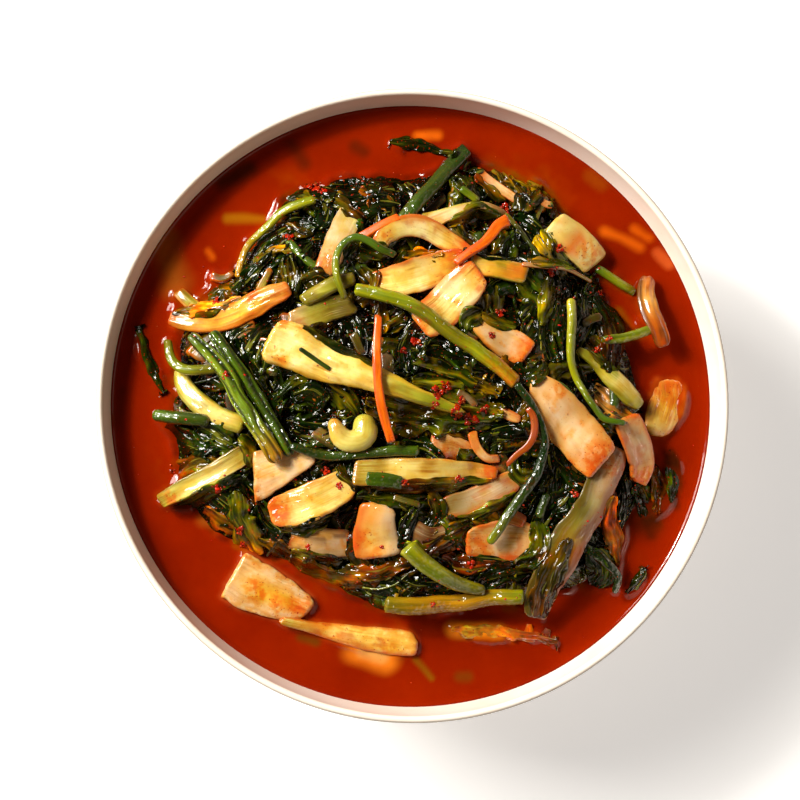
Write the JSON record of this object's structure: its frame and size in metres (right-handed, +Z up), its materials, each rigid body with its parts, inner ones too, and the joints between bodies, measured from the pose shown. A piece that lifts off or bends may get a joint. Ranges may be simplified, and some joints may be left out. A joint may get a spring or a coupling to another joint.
{
  "type": "bowl of kimchi",
  "caption": "Round white bowl of wet green and cabbage kimchi, heaped above a smooth red chilli broth, with leaf and rib pieces floating round the heap.",
  "frame": {"origin": "centre of the foot ring's underside, on the surface the bowl stands on", "axes": "+Z up; +Y towards the far side of the bowl as pictured; +X to the right"},
  "size_m": [0.21, 0.21, 0.0889],
  "materials": {
    "glaze": "warm white glazed stoneware, unglazed on the foot ring",
    "broth": "wet, smooth, deep orange-red broth with an oily gloss",
    "greens": "wet dark green leaves and olive stems",
    "cabbage": "wet pale cabbage rib, cream to yellow-green, stained orange at its edges",
    "carrot": "wet orange carrot cut in matchsticks",
    "chilli": "wet red chilli flakes and pale seeds"
  },
  "bodies": {
    "root": {"bowl": "glaze", "broth": "broth", "kimchi_heap": "greens", "float_cabbage_fan": "cabbage", "float_leaf_strip": "cabbage", "float_frill": "cabbage", "float_rim_leaf": "greens", "float_curl": "cabbage", "float_rib_right": "cabbage", "float_sliver_left": "greens", "float_leaf_top": "greens"}
  },
  "joints": []
}
